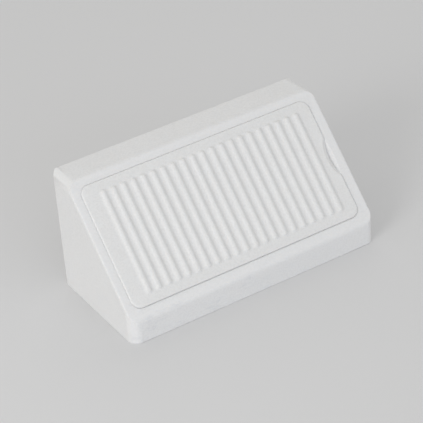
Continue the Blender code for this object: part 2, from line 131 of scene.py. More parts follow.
# Ribs and the finger notch
RIB_COUNT = 21
RIB_PITCH = 2.47 * MM
RIB_LENGTH = 24.0 * MM
RIB_WIDTH = 1.45 * MM
RIB_RISE = 0.45 * MM
RIB_FOOT = 1.0 * MM  # radius of the fillet
RIB_END = 0.75  # how far a rounded end reaches, as a share of half the width
NOTCH_LENGTH = 9.2 * MM
NOTCH_IN_COVER = 1.9 * MM
NOTCH_IN_RIM = 0.4 * MM
NOTCH_DEPTH = 1.1 * MM
NOTCH_EDGE = 0.06 * MM
CHAMFER_TAPER = 1.5  # run over rise
LIP_LENGTH = 8.2 * MM
LIP_REACH = 0.85 * MM
LIP_GAP = 0.03 * MM

# Below the cover: hooked tabs at its left end, a snap tongue at its right end, stiffening bars
TAB_SPREAD = 9.0 * MM
TAB_WIDTH = 4.0 * MM
TAB_THICKNESS = 1.2 * MM
TAB_CLEARANCE = 0.2 * MM
TAB_LEVEL = -4.7 * MM
TOE_REACH = 0.5 * MM
TOE_LENGTH = 1.3 * MM
TOE_THICKNESS = 1.3 * MM
TONGUE_WIDTH = 8.0 * MM
TONGUE_THICKNESS = 1.1 * MM
TONGUE_CLEARANCE = 0.8 * MM
TONGUE_LEVEL = -5.0 * MM
NOSE_CLEARANCE = 0.35 * MM
NOSE_LENGTH = 0.85 * MM
NOSE_THICKNESS = 1.0 * MM
NOSE_RISE = 0.4 * MM
BAR_LENGTH = 48.0 * MM
BAR_SPREAD = 10.6 * MM
BAR_THICKNESS = 1.2 * MM
BAR_LEVEL = -2.2 * MM
FITTING_EDGE = 0.15 * MM

# Screw sleeves, webs and gusset inside the housing
SCREW_X = (SCREW_LOW.x + SCREW_HIGH.x) / 2
SCREW_Y = (SCREW_LOW.y + SCREW_HIGH.y) / 2
SLEEVE_OUTER = 5.8 * MM
SLEEVE_INNER = 4.4 * MM
SLEEVE_TOP = 11 * MM
BOSS_TOP = 3 * MM
SCREW_HOLE = 2.1 * MM
WEB_THICKNESS = 1.6 * MM
GUSSET_TOP = 22 * MM
GUSSET_FRONT = -4 * MM
POST_EDGE = 0.25 * MM
MOUTH_TURN = 80  # degrees
INTO_WALL = WALL / 2  # how deep the posts are rooted in the walls

# Floor screws
HEAD_HEIGHT = 2.2 * MM
HEAD_SIDE = 0.35  # share of the head's height
HEAD_DOME = 0.65  # the rest of it
HEAD_EDGE = 0.12 * MM
SHANK_LENGTH = SCREW_HIGH.z - SCREW_LOW.z - HEAD_HEIGHT
HEAD_RADIUS = (SCREW_HIGH.x - SCREW_LOW.x) / 2
THREAD_RADIUS = 1.75 * MM
CORE_RADIUS = 1.15 * MM
NECK_RADIUS = 1.45 * MM
NECK_START = 0.3 * MM
NECK_FLARE = 0.2 * MM
THREAD_PITCH = 1.5 * MM
THREAD_TOP = 14 * MM
THREAD_ROWS = 20  # in one turn
SPARE_ROWS = 3  # so that the skin reaches the thread's top all round
RIDGE_SHARE = 0.42  # of half the pitch
RIDGE_START = 0.8  # full after this share of the tip
RIDGE_RUNOUT = 0.6  # full until this share of the pitch below the top
TIP_LENGTH = 3.0 * MM
TIP_CURVE = 0.8  # the core's power law from the point
SCREW_TURN = {"left": 20, "right": 65}  # degrees
RECESS = (  # level from the head's top, an arm's reach, half its width
    (-1.5 * MM, 0.75 * MM, 0.28 * MM),
    (-0.12 * MM, 1.75 * MM, 0.40 * MM),
    (0.5 * MM, 2.4 * MM, 0.75 * MM),
)

# Washers
WASHER_HOLE = 2.1 * MM
WASHER_ROLL = 0.22 * MM
WASHER_INNER_ROLL = 0.6  # as a share of the outer roll
WASHER_CHAMFER = 0.06 * MM

# Buffers
BUFFER_X = (BUFFER_LOW.x + BUFFER_HIGH.x) / 2
BUFFER_Z = (BUFFER_LOW.z + BUFFER_HIGH.z) / 2
BUFFER_RADIUS = (BUFFER_HIGH.x - BUFFER_LOW.x) / 2
BUFFER_FACE = BUFFER_HIGH.y - BACK
BUFFER_ROUND = 1.2 * MM
BUFFER_EDGE = 0.2 * MM
BUFFER_GAP = 0.3 * MM
GROOVE_RADII = (3.2 * MM, 3.45 * MM, 3.95 * MM, 4.2 * MM)
GROOVE_DEPTH = 0.25 * MM
STEM_RADIUS = 2.5 * MM
STEM_HOLE = 2.8 * MM
BARB_RADIUS = 3.7 * MM
BARB_LENGTH = 3.2 * MM
BARB_EDGE = 0.15 * MM
BARB_SHOULDER = 0.85  # share of its radius
BARB_SHOULDER_DOWN = 0.35  # share of its length
BARB_TIP = 0.7  # share of the stem's radius

# Colours, how strongly marks show, and painted shade in the hollows
WHITE, WHITE_SHADE = (0.80, 0.798, 0.796), (0.78, 0.78, 0.778)
COVER_WHITE, COVER_SHADE = (0.802, 0.80, 0.792), (0.784, 0.782, 0.774)
PIT_TINT = 0.94
WORN_TINT = 1.04
# The next tint is painted shade: hollows darkened where shade would fall.
HOLLOW_SHADE_TINT = 0.93
SCUFF_TINT = (0.86, 0.87, 0.90)
ZINC, ZINC_BLUE = (0.66, 0.67, 0.69), (0.55, 0.575, 0.62)
# The second zinc colour is painted shade, darkening the hollows.
ZINC_WORN, ZINC_HOLLOW_SHADE = (0.78, 0.78, 0.78), (0.3, 0.31, 0.32)
RUBBER, RUBBER_DUST = (0.075, 0.076, 0.08), (0.14, 0.14, 0.14)
RUBBER_SPECK, RUBBER_WORN = (0.16, 0.16, 0.16), (0.2, 0.2, 0.2)
FLOOR_GREY, FLOOR_LIGHT = (0.70, 0.70, 0.705), (0.72, 0.72, 0.72)
FULL = (0, 1)
SCUFF_STRETCH = (0.5, 0.8, 1.4)
SCUFF_LEAN = (0, 0.35, 0)
SCUFF_FRONT = (-BACK + 0.5 * MM, -BACK + 1.5 * MM)  # where they fade behind the strip
SCUFF_LEFT = (-8 * MM, 12 * MM)  # where they fade along it

SLIGHT = 0.03 * MM  # keeps joined solids' faces from coinciding
CLEAR = 1 * MM  # how far a cutter runs past the face it cuts
FLOOR_LEVEL = -0.02 * MM  # just below the base, so that the two faces don't coincide


def seat_frame():
    """Places local X, Y and Z along the wedge, up the slope and out of it, at the seat's middle."""
    up_slope = -Vector(HINGE["axis"]).normalized()
    outward = Vector((1, 0, 0)).cross(up_slope)
    middle = Vector(HINGE["pos_m"]) + Vector((COVER_LENGTH / 2, 0, 0)) - outward * COVER_PROUD
    rotation = Matrix((Vector((1, 0, 0)), up_slope, outward)).transposed()
    return Matrix.Translation(middle) @ rotation.to_4x4()


SEAT = seat_frame()
SLOPE = SEAT @ Matrix.Translation((-COVER_OFFSET, 0, 0))
ALONG_X = Matrix(((0, 0, 1, 0), (1, 0, 0, 0), (0, 1, 0, 0), (0, 0, 0, 1)))
FACING_BACK = Matrix.Rotation(math.radians(90), 4, "X")


# ---------------------------------------------------------------- outlines


def rounded_outline(corners, radii, steps=ARC_STEPS):
    """Replaces each corner, given anticlockwise, with an arc of its radius. 0 stays sharp."""
    points = []
    for index, (corner, radius) in enumerate(zip(corners, radii)):
        corner = Vector(corner)
        if radius == 0:
            points.append(corner)
            continue
        back = (Vector(corners[index - 1]) - corner).normalized()
        ahead = (Vector(corners[(index + 1) % len(corners)]) - corner).normalized()
        half_angle = back.angle(ahead) / 2
        centre = corner + (back + ahead).normalized() * radius / math.sin(half_angle)
        start = corner + back * radius / math.tan(half_angle) - centre
        turn = math.pi - 2 * half_angle
        for step in range(steps + 1):
            points.append(centre + Matrix.Rotation(turn * step / steps, 2) @ start)
    return points


def rounded_rectangle(width, height, radius):
    x, y = width / 2, height / 2
    return rounded_outline(((x, -y), (x, y), (-x, y), (-x, -y)), (radius,) * 4)


def arch_outline(top, bottom, radius):
    """The wedge's length with rounded top corners, a little wider below them."""
    points = [Vector((-LENGTH / 2 - CLEAR, bottom)), Vector((LENGTH / 2 + CLEAR, bottom))]
    for side, turn in ((1, 0), (-1, 90)):
        for step in range(ARC_STEPS + 1):
            angle = math.radians(turn + 90 * step / ARC_STEPS)
            x = side * (LENGTH / 2 - radius) + radius * math.cos(angle)
            points.append(Vector((x, top - radius + radius * math.sin(angle))))
    return points


def plate_ring(level, offset, length, height, radius):
    """A rounded rectangle at a level of the slope frame, grown by an offset on every side."""
    outline = rounded_rectangle(length + 2 * offset, height + 2 * offset, radius + offset)
    return [(point.x, point.y, level) for point in outline]


def round_corner(radius, steps, sweep=90, first=0):
    """How far each point round a corner is from the side behind it and from the side ahead."""
    for step in range(first, steps + 1):
        angle = math.radians(sweep * step / steps)
        yield radius * (1 - math.cos(angle)), radius * (1 - math.sin(angle))


def circle(radius, height, segments):
    angles = [2 * math.pi * step / segments for step in range(segments)]
    return [(radius * math.cos(angle), radius * math.sin(angle), height) for angle in angles]


# ---------------------------------------------------------------- solids


def new_object(name, shape):
    bmesh.ops.remove_doubles(shape, verts=shape.verts, dist=MERGE_DISTANCE)
    bmesh.ops.recalc_face_normals(shape, faces=shape.faces)
    mesh = bpy.data.meshes.new(name)
    shape.to_mesh(mesh)
    shape.free()
    made = bpy.data.objects.new(name, mesh)
    bpy.context.scene.collection.objects.link(made)
    return made


def loft_rows(shape, rings, place=IDENTITY):
    """Joins rings of equal point counts with quads, and returns their vertices."""
    rows = [[shape.verts.new(place @ Vector(point)) for point in ring] for ring in rings]
    for low, high in zip(rows, rows[1:]):
        for index in range(len(low)):
            after = (index + 1) % len(low)
            shape.faces.new((low[index], low[after], high[after], high[index]))
    return rows


def loft(name, rings, place=IDENTITY):
    shape = bmesh.new()
    rows = loft_rows(shape, rings, place)
    shape.faces.new(rows[0])
    shape.faces.new(rows[-1])
    return new_object(name, shape)


def prism(name, outline, low, high, place=IDENTITY, edge=0.0):
    """An outline run along the place's local Z. edge rounds all its edges."""
    shape = bmesh.new()
    rings = [[(point[0], point[1], level) for point in outline] for level in (low, high)]
    rows = loft_rows(shape, rings)
    shape.faces.new(rows[0])
    shape.faces.new(rows[-1])
    bmesh.ops.recalc_face_normals(shape, faces=shape.faces)
    if edge:
        bmesh.ops.bevel(
            shape, geom=shape.edges, offset=edge, segments=EDGE_STEPS, profile=0.5, affect="EDGES"
        )
    bmesh.ops.transform(shape, matrix=place, verts=shape.verts)
    return new_object(name, shape)


def block(name, low, high, place=IDENTITY, edge=0.0):
    outline = ((low[0], low[1]), (high[0], low[1]), (high[0], high[1]), (low[0], high[1]))
    return prism(name, outline, low[2], high[2], place, edge)


def turned(name, profile, place=IDENTITY, segments=SEGMENTS):
    """A profile of (radius, height) points turned about the place's local Z."""
    shape = bmesh.new()
    rows = []
    for step in range(segments):
        turn = place @ Matrix.Rotation(2 * math.pi * step / segments, 4, "Z")
        points = [turn @ Vector((radius, 0, height)) for radius, height in profile]
        rows.append([shape.verts.new(point) for point in points])
    for first, second in zip(rows, rows[1:] + rows[:1]):
        for index in range(len(profile) - 1):
            shape.faces.new((first[index], second[index], second[index + 1], first[index + 1]))
    return new_object(name, shape)


def combine(base, others, operation):
    """Cuts, joins or trims the base with each of the others, and removes them."""
    for other in others:
        modifier = base.modifiers.new("combine", "BOOLEAN")
        modifier.operation = operation
        modifier.solver = "EXACT"
        modifier.object = other
    bpy.context.view_layer.update()
    graph = bpy.context.evaluated_depsgraph_get()
    mesh = bpy.data.meshes.new_from_object(base.evaluated_get(graph))
    base.modifiers.clear()
    base.data = mesh
    for other in others:
        bpy.data.objects.remove(other)
    return base


def along(origin, direction):
    """A place at origin whose local Z points along direction."""
    turn = Vector((0, 0, 1)).rotation_difference(direction)
    return Matrix.Translation(origin) @ turn.to_matrix().to_4x4()


def finish_piece(piece, name, body, node, paint, sharp=SHARP_ANGLE):
    """Shades the piece, gives it its finish and lets it stand for its node."""
    shape = bmesh.new()
    shape.from_mesh(piece.data)
    bmesh.ops.dissolve_degenerate(shape, edges=shape.edges, dist=SLIVER)
    shape.to_mesh(piece.data)
    shape.free()
    piece.name = name
    piece.data.name = name
    piece.data.materials.clear()
    piece.data.materials.append(paint)
    piece.data.shade_smooth()
    piece.data.set_sharp_from_angle(angle=math.radians(sharp))
    normals = piece.modifiers.new("flat faces stay flat", "WEIGHTED_NORMAL")
    normals.keep_sharp = True
    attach(piece, body)
    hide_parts(node)


# ---------------------------------------------------------------- materials


def set_inputs(node, values):
    for name, value in values.items():
        node.inputs[name].default_value = value


def shader_tree(name):
    made = bpy.data.materials.new(name)
    made.use_nodes = True
    tree = made.node_tree
    return made, tree, tree.nodes["Principled BSDF"]


def surface_place(tree):
    return tree.nodes.new("ShaderNodeTexCoord").outputs["Object"]


def surface_edges(tree):
    """Above 0.5 on raised edges, below it in hollows."""
    return tree.nodes.new("ShaderNodeNewGeometry").outputs["Pointiness"]


def noise_at(tree, place, scale, detail=3.0, roughness=0.55):
    texture = tree.nodes.new("ShaderNodeTexNoise")
    set_inputs(texture, {"Scale": scale, "Detail": detail, "Roughness": roughness})
    tree.links.new(place, texture.inputs["Vector"])
    return texture.outputs["Fac"]


def spread(tree, value, old, new):
    """Maps a value from an old range (low, high) to a new one."""
    ranged = tree.nodes.new("ShaderNodeMapRange")
    names = ("From Min", "From Max", "To Min", "To Max")
    set_inputs(ranged, dict(zip(names, (*old, *new))))
    tree.links.new(value, ranged.inputs["Value"])
    return ranged.outputs["Result"]


def mixed(tree, factor, first, second):
    mix = tree.nodes.new("ShaderNodeMix")
    mix.data_type = "RGBA"
    sockets = [socket for socket in mix.inputs if socket.type == "RGBA"]
    for socket, value in zip(sockets, (first, second)):
        if isinstance(value, bpy.types.NodeSocket):
            tree.links.new(value, socket)
        else:
            socket.default_value = (*value, 1)
    tree.links.new(factor, mix.inputs["Factor"])
    return next(socket for socket in mix.outputs if socket.type == "RGBA")


def bumped(tree, height, distance, strength, before=None):
    bump = tree.nodes.new("ShaderNodeBump")
    set_inputs(bump, {"Distance": distance, "Strength": strength})
    tree.links.new(height, bump.inputs["Height"])
    if before is not None:
        tree.links.new(before, bump.inputs["Normal"])
    return bump.outputs["Normal"]


def stretched(tree, place, scale, turn):
    """The same place, turned and drawn out, for marks that run one way."""
    mapping = tree.nodes.new("ShaderNodeMapping")
    set_inputs(mapping, {"Scale": scale, "Rotation": turn})
    tree.links.new(place, mapping.inputs["Vector"])
    return mapping.outputs["Vector"]


def times(tree, first, second):
    product = tree.nodes.new("ShaderNodeMath")
    product.operation = "MULTIPLY"
    tree.links.new(first, product.inputs[0])
    tree.links.new(second, product.inputs[1])
    return product.outputs["Value"]


def tinted(colour, tint):
    return tuple(min(1, channel * tint) for channel in colour)


def scuffs(tree, place):
    """How strongly the low front strip is scuffed: short strokes, fading upwards and rightwards."""
    drawn_out = stretched(tree, place, SCUFF_STRETCH, SCUFF_LEAN)
    strokes = noise_at(tree, drawn_out, scale=620, detail=5, roughness=0.7)
    split = tree.nodes.new("ShaderNodeSeparateXYZ")
    tree.links.new(place, split.inputs["Vector"])
    front = spread(tree, split.outputs["Y"], SCUFF_FRONT, (1, 0))
    left = spread(tree, split.outputs["X"], SCUFF_LEFT, (1, 0.1))
    return times(tree, spread(tree, strokes, (0.52, 0.68), (0, 0.6)), times(tree, front, left))


def moulded_plastic(name, colour, shade, roughness, grain):
    """Matte moulded plastic: spark-eroded grain, flow marks and a scuffed front strip.

    Raised edges are cleaner, and hollows are darkened with painted shade.
    """
    made, tree, shader = shader_tree(name)
    place = surface_place(tree)
    edges = surface_edges(tree)
    cloudy = noise_at(tree, place, scale=90, detail=4)
    flow = noise_at(tree, place, scale=420)
    fine = noise_at(tree, place, scale=5200, detail=2, roughness=0.7)
    coarse = noise_at(tree, place, scale=2300, detail=2)
    body = mixed(tree, spread(tree, cloudy, (0.3, 0.7), FULL), colour, shade)
    pits = spread(tree, coarse, (0.4, 0.7), (0, 0.8))
    speckled = mixed(tree, pits, body, tinted(shade, PIT_TINT))
    raised = spread(tree, edges, (0.5, 0.56), (0, 0.6))
    worn = mixed(tree, raised, speckled, tinted(colour, WORN_TINT))
    scuff = tuple(channel * tint for channel, tint in zip(shade, SCUFF_TINT))
    scuffed = mixed(tree, scuffs(tree, place), worn, scuff)
    # Painted shade: hollows darker, where shade would fall.
    hollow = spread(tree, edges, (0.49, 0.44), (0, 0.5))
    hollows_shaded = mixed(tree, hollow, scuffed, tinted(shade, HOLLOW_SHADE_TINT))
    tree.links.new(hollows_shaded, shader.inputs["Base Color"])
    matte = spread(tree, flow, (0.3, 0.7), (roughness - 0.05, roughness + 0.06))
    tree.links.new(matte, shader.inputs["Roughness"])
    set_inputs(shader, {
        "Specular IOR Level": 0.42,
        "IOR": 1.49,
        "Subsurface Weight": 0.12,
        "Subsurface Radius": (1.0, 0.9, 0.8),
        "Subsurface Scale": 0.5 * MM,
    })
    ripple = bumped(tree, cloudy, distance=0.02 * MM, strength=0.5)
    pitted = bumped(tree, coarse, distance=grain, strength=0.6, before=ripple)
    grained = bumped(tree, fine, distance=grain, strength=0.8, before=pitted)
    tree.links.new(grained, shader.inputs["Normal"])
    return made


def zinc_plated():
    """Bright zinc plating: clouded colour, turning marks and painted shade darkening the hollows.
    """
    made, tree, shader = shader_tree("zinc_plated_steel")
    place = surface_place(tree)
    edges = surface_edges(tree)
    cloudy = noise_at(tree, place, scale=700, detail=4)
    fine = noise_at(tree, place, scale=9000, detail=2, roughness=0.7)
    tint = mixed(tree, spread(tree, cloudy, (0.35, 0.65), FULL), ZINC, ZINC_BLUE)
    worn = mixed(tree, spread(tree, edges, (0.51, 0.58), (0, 0.7)), tint, ZINC_WORN)
    # Painted shade: the hollows darker.
    zinc_with_shade = mixed(tree, spread(tree, edges, (0.49, 0.43), (0, 0.7)), worn, ZINC_HOLLOW_SHADE)
    tree.links.new(zinc_with_shade, shader.inputs["Base Color"])
    set_inputs(shader, {"Metallic": 1.0})
    polish = spread(tree, cloudy, (0.3, 0.7), (0.24, 0.42))
    tree.links.new(polish, shader.inputs["Roughness"])
    rings = tree.nodes.new("ShaderNodeTexWave")
    rings.wave_type = "BANDS"
    rings.bands_direction = "Z"
    set_inputs(rings, {"Scale": 2600, "Distortion": 1.5})
    tree.links.new(place, rings.inputs["Vector"])
    turning = bumped(tree, rings.outputs["Fac"], distance=0.002 * MM, strength=0.4)
    plated = bumped(tree, fine, distance=0.002 * MM, strength=0.5, before=turning)
    tree.links.new(plated, shader.inputs["Normal"])
    return made


def soft_rubber():
    """Dark grey rubber: fine matte skin, dusty bloom and scuffs on the raised face."""
    made, tree, shader = shader_tree("grey_rubber")
    place = surface_place(tree)
    edges = surface_edges(tree)
    cloudy = noise_at(tree, place, scale=260, detail=5, roughness=0.65)
    fine = noise_at(tree, place, scale=4200, roughness=0.7)
    dusty = mixed(tree, spread(tree, cloudy, (0.45, 0.75), (0, 0.6)), RUBBER, RUBBER_DUST)
    speckled = mixed(tree, spread(tree, fine, (0.4, 0.7), (0, 0.35)), dusty, RUBBER_SPECK)
    worn = mixed(tree, spread(tree, edges, (0.51, 0.57), (0, 0.5)), speckled, RUBBER_WORN)
    tree.links.new(worn, shader.inputs["Base Color"])
    matte = spread(tree, cloudy, (0.3, 0.7), (0.62, 0.85))
    tree.links.new(matte, shader.inputs["Roughness"])
    set_inputs(shader, {"Specular IOR Level": 0.35, "Sheen Weight": 0.08, "Sheen Roughness": 0.6})
    skin = bumped(tree, cloudy, distance=0.03 * MM, strength=0.3)
    matted = bumped(tree, fine, distance=0.012 * MM, strength=0.7, before=skin)
    tree.links.new(matted, shader.inputs["Normal"])
    return made


# ---------------------------------------------------------------- housing


def wedge_outline():
    """The housing's end view as (y, z) corners, anticlockwise from the front foot."""
    slope_head = (BACK - TOP_DEPTH, HEIGHT)
    slope_foot = (-BACK, FRONT_HEIGHT)
    return ((-BACK, 0), (BACK, 0), (BACK, HEIGHT), slope_head, slope_foot)


def cavity_outline():
    """The hollow's end view: a wall inside the outer faces, and open to the ledge's underside."""
    front = -BACK + WALL
    top = HEIGHT - WALL
    along_slope = Vector((math.cos(SLOPE_ANGLE), math.sin(SLOPE_ANGLE)))
    outward = Vector((-math.sin(SLOPE_ANGLE), math.cos(SLOPE_ANGLE)))
    start = Vector((-BACK, FRONT_HEIGHT)) + outward * LEDGE_LEVEL
    low = start + along_slope * ((front - start.x) / along_slope.x)
    high = start + along_slope * ((top - start.y) / along_slope.y)
    corners = ((front, WALL), (BACK - WALL, WALL), (BACK - WALL, top), tuple(high), tuple(low))
    return rounded_outline(corners, (INNER_RADIUS, INNER_RADIUS, INNER_RADIUS, 0, 0), EDGE_STEPS)


def outer_wedge():
    """The end view run along the wedge, then trimmed to round its upright and end edges."""
    radii = (FOOT_RADIUS, FOOT_RADIUS, BACK_RADIUS, SLOPE_HEAD_RADIUS, SLOPE_FOOT_RADIUS)
    outline = rounded_outline(wedge_outline(), radii)
    wedge = prism("wedge", outline, -LENGTH / 2 - CLEAR, LENGTH / 2 + CLEAR, ALONG_X)
    base_view = rounded_rectangle(LENGTH, 2 * BACK, CORNER_RADIUS)
    plan = prism("plan", base_view, -CLEAR, HEIGHT + CLEAR)
    front_view = arch_outline(HEIGHT, -CLEAR, TOP_END_RADIUS)
    elevation = prism("elevation", front_view, -BACK - CLEAR, BACK + CLEAR, FACING_BACK)
    slope_view = arch_outline(0, -HEIGHT - CLEAR, SLOPE_END_RADIUS)
    up_slope = SLOPE @ FACING_BACK
    slope_trim = prism("slope_trim", slope_view, -TRIM_REACH, TRIM_REACH, up_slope)
    return combine(wedge, (plan, elevation, slope_trim), "INTERSECT")


def lip_ring(angle, rise, size):
    """The seat's outline part way round its lip, which is finer at the left and the top.

    rise carries it on past the lip.
    """
    ring = []
    length, height, corner = size
    for inner, outer in zip(plate_ring(0, 0, *size), plate_ring(0, MM, *size)):
        share = min(corner, inner[0] + length / 2, height / 2 - inner[1]) / corner
        radius = SEAT_LIP_FINE + (SEAT_LIP - SEAT_LIP_FINE) * share
        turned_out = radius * (math.cos(LIP_START) - math.cos(angle))
        growth = (turned_out + rise * math.tan(angle)) / MM
        x, y = (start + (end - start) * growth for start, end in zip(inner[:2], outer[:2]))
        ring.append((x, y, radius * (math.sin(angle) - 1) + rise))
    return ring


def seat_cutters():
    """The cover's seat with a softly rounded lip, and the throat inside its ledge."""
    shrink = 2 * SEAT_SHRINK
    height = SEAT_HEIGHT - shrink + SEAT_PLAY_LOW
    size = (SEAT_LENGTH - shrink, height, SEAT_RADIUS - SEAT_SHRINK)
    seat = [plate_ring(SEAT_LEVEL, 0, *size)]
    for step in range(EDGE_STEPS + 1):
        seat.append(lip_ring(LIP_START + (LIP_TURN - LIP_START) * step / EDGE_STEPS, 0, size))
    seat.append(lip_ring(LIP_TURN, CLEAR / 2, size))
    throat = [
        plate_ring(level, offset - LEDGE_WIDTH, *size)
        for level, offset in (
            (LEDGE_LEVEL - CLEAR, LEDGE_EDGE + CLEAR),
            (LEDGE_LEVEL + LEDGE_EDGE, 0),
            (SEAT_LEVEL - LEDGE_EDGE, 0),
            (SEAT_LEVEL + CLEAR / 2, LEDGE_EDGE + CLEAR / 2),
        )
    ]
    moved = SEAT @ Matrix.Translation((0, -SEAT_PLAY_LOW / 2, 0))
    lip = notch_cone("lip", LIP_LENGTH, LIP_REACH, 1, SEAT_LEVEL - CLEAR, CLEAR)
    return combine(loft("seat", seat, moved), (lip,), "DIFFERENCE"), loft("throat", throat, moved)


def notch_cone(name, length, reach, side, low, surface, taper=0):
    """A cone out of the slope, on one side of the seat's right end, from low to surface.

    At level 0 its edge passes that end by reach, over the length. A tapered one opens softly
    onto its surface.
    """
    radius = (length**2 / 4 + reach**2) / (2 * reach)
    profile = [(0, low), (radius + taper * low, low)]
    top = surface
    if taper:
        rim = radius + taper * surface
        top = surface + CLEAR / 2
        profile += [
            (rim - NOTCH_EDGE, surface - NOTCH_EDGE / taper),
            (rim + NOTCH_EDGE, surface + NOTCH_EDGE / 3),
            (rim + CLEAR, top),
        ]
    else:
        profile.append((radius, top))
    profile.append((0, top))
    centre = Matrix.Translation((SEAT_LENGTH / 2 + side * (radius - reach), 0, 0))
    segments = TAPERED_CONE_SEGMENTS if taper else CONE_SEGMENTS
    return turned(name, profile, SEAT @ centre, segments)


def notch_ramp():
    """The finger notch's ramp, from the rim down to the tip of its lip."""
    taper = (NOTCH_IN_RIM + LIP_REACH) / NOTCH_DEPTH
    ramp = notch_cone("ramp", NOTCH_LENGTH, NOTCH_IN_RIM, -1, -NOTCH_DEPTH, 0, taper)
    limit = notch_cone("limit", NOTCH_LENGTH, NOTCH_IN_COVER, 1, -2 * CLEAR, 2 * CLEAR)
    return combine(ramp, (limit,), "INTERSECT")


def sleeve_profile():
    """A post with a rounded top rim and a small fillet at its foot."""
    floor = WALL + SLIGHT
    foot = SLEEVE_OUTER + POST_EDGE
    points = [(0, INTO_WALL), (foot, INTO_WALL), (foot, floor)]
    for behind, ahead in round_corner(POST_EDGE, EDGE_STEPS):
        points.append((SLEEVE_OUTER + ahead, floor + behind))
    for behind, ahead in round_corner(POST_EDGE, EDGE_STEPS):
        points.append((SLEEVE_OUTER - behind, SLEEVE_TOP - ahead))
    points.append((0, SLEEVE_TOP))
    return points


def bore_profile(radius, bottom, top):
    """A bore with a rounded mouth at the top."""
    points = [(0, bottom), (radius, bottom), (radius, top - POST_EDGE)]
    for behind, ahead in round_corner(POST_EDGE, EDGE_STEPS, MOUTH_TURN, first=1):
        points.append((radius + behind, top - ahead))
    points.append((radius + POST_EDGE * 2, top + CLEAR))
    points.append((0, top + CLEAR))
    return points


def make_housing(paint):
    """The hollow wedge, then its sleeves, webs and gusset, then the bores through them."""
    housing = outer_wedge()
    half_hollow = LENGTH / 2 - WALL
    cavity = prism("cavity", cavity_outline(), -half_hollow, half_hollow, ALONG_X)
    combine(housing, (cavity, *seat_cutters(), notch_ramp()), "DIFFERENCE")
    posts = []
    cuts = []
    web_top = SLEEVE_TOP - CLEAR
    half_web = WEB_THICKNESS / 2
    back_end = BACK - SCREW_Y - INTO_WALL
    side_end = LENGTH / 2 - SCREW_X - INTO_WALL
    for side in (-1, 1):
        foot = Matrix.Translation((side * SCREW_X, SCREW_Y, 0))
        posts.append(turned("sleeve", sleeve_profile(), foot))
        low, high = (-half_web, SLEEVE_INNER, INTO_WALL), (half_web, back_end, web_top)
        posts.append(block("web", low, high, foot, POST_EDGE))
        start, end = sorted((side * SLEEVE_INNER, side * side_end))
        low, high = (start, -half_web, INTO_WALL), (end, half_web, web_top)
        posts.append(block("web", low, high, foot, POST_EDGE))
        sleeve_bore = bore_profile(SLEEVE_INNER, BOSS_TOP, SLEEVE_TOP)
        screw_hole = bore_profile(SCREW_HOLE, -CLEAR, BOSS_TOP)
        stem_hole = bore_profile(STEM_HOLE, -WALL - CLEAR, 0)
        rim = along(Vector((side * BUFFER_X, BACK, BUFFER_Z)), Vector((0, 1, 0)))
        cuts.append(turned("bore", sleeve_bore, foot))
        cuts.append(turned("hole", screw_hole, foot, HOLE_SEGMENTS))
        cuts.append(turned("stem_hole", stem_hole, rim, HOLE_SEGMENTS))
    inside_back = BACK - INTO_WALL
    gusset = ((GUSSET_FRONT, INTO_WALL), (inside_back, INTO_WALL), (inside_back, GUSSET_TOP))
    posts.append(prism("gusset", gusset, -half_web, half_web, ALONG_X, POST_EDGE))
    combine(housing, posts, "UNION")
    combine(housing, cuts, "DIFFERENCE")
    finish_piece(housing, "housing_shell", "housing", "housing", paint)


# ---------------------------------------------------------------- cover


def rib_profile():
    """(distance from the rib's spine, height) from its foot's fillet up over its round top."""
    half = RIB_WIDTH / 2
    crown_radius = (half**2 + RIB_RISE**2) / (2 * RIB_RISE)
    centre = RIB_RISE - crown_radius
    foot_x = math.sqrt((crown_radius + RIB_FOOT) ** 2 - (RIB_FOOT - centre) ** 2)
    lean = math.atan2(foot_x, RIB_FOOT - centre)
    points = []
    for step in range(EDGE_STEPS + 1):
        angle = lean * step / EDGE_STEPS
        points.append((foot_x - RIB_FOOT * math.sin(angle), RIB_FOOT * (1 - math.cos(angle))))
    for step in range(1, CROWN_STEPS):
        angle = lean * (1 - step / CROWN_STEPS)
        points.append((crown_radius * math.sin(angle), centre + crown_radius * math.cos(angle)))
    return points


def rib_ring(x, distance, level):
    """A long oval about the rib's spine, at a level of the slope frame."""
    straight = RIB_LENGTH / 2 - RIB_END * RIB_WIDTH / 2
    ring = []
    for end in (1, -1):
        for step in range(ARC_STEPS + 1):
            angle = math.pi * step / ARC_STEPS
            along_x = x + end * distance * math.cos(angle)
            along_y = end * (straight + RIB_END * distance * math.sin(angle))
            ring.append((along_x, along_y, level))
    return ring


def ribbed_plate():
    """The plate's edge, then the ribs, then the top face around their feet."""
    shape = bmesh.new()
    size = (COVER_LENGTH, COVER_HEIGHT, COVER_RADIUS)
    rings = [
        plate_ring(COVER_UNDERSIDE, -COVER_LOWER_EDGE, *size),
        plate_ring(COVER_UNDERSIDE + COVER_LOWER_EDGE, 0, *size),
    ]
    for behind, ahead in round_corner(COVER_EDGE, ROLL_STEPS):
        rings.append(plate_ring(COVER_PROUD - ahead, -behind, *size))
    rows = loft_rows(shape, rings, Matrix.Translation((COVER_OFFSET, 0, 0)))
    shape.faces.new(rows[0])
    loops = [rows[-1]]
    profile = rib_profile()
    for number in range(RIB_COUNT):
        x = (number - (RIB_COUNT - 1) / 2) * RIB_PITCH
        rib_rings = [rib_ring(x, distance, COVER_PROUD + rise) for distance, rise in profile]
        rib = loft_rows(shape, rib_rings)
        shape.faces.new(rib[-1])
        loops.append(rib[0])
    edges = []
    for loop in loops:
        for index, vertex in enumerate(loop):
            edges.append(shape.edges.get((vertex, loop[(index + 1) % len(loop)])))
    bmesh.ops.triangle_fill(
        shape, use_beauty=True, use_dissolve=False, edges=edges, normal=(0, 0, 1)
    )
    bmesh.ops.transform(shape, matrix=SLOPE, verts=shape.verts)
    return new_object("cover", shape)


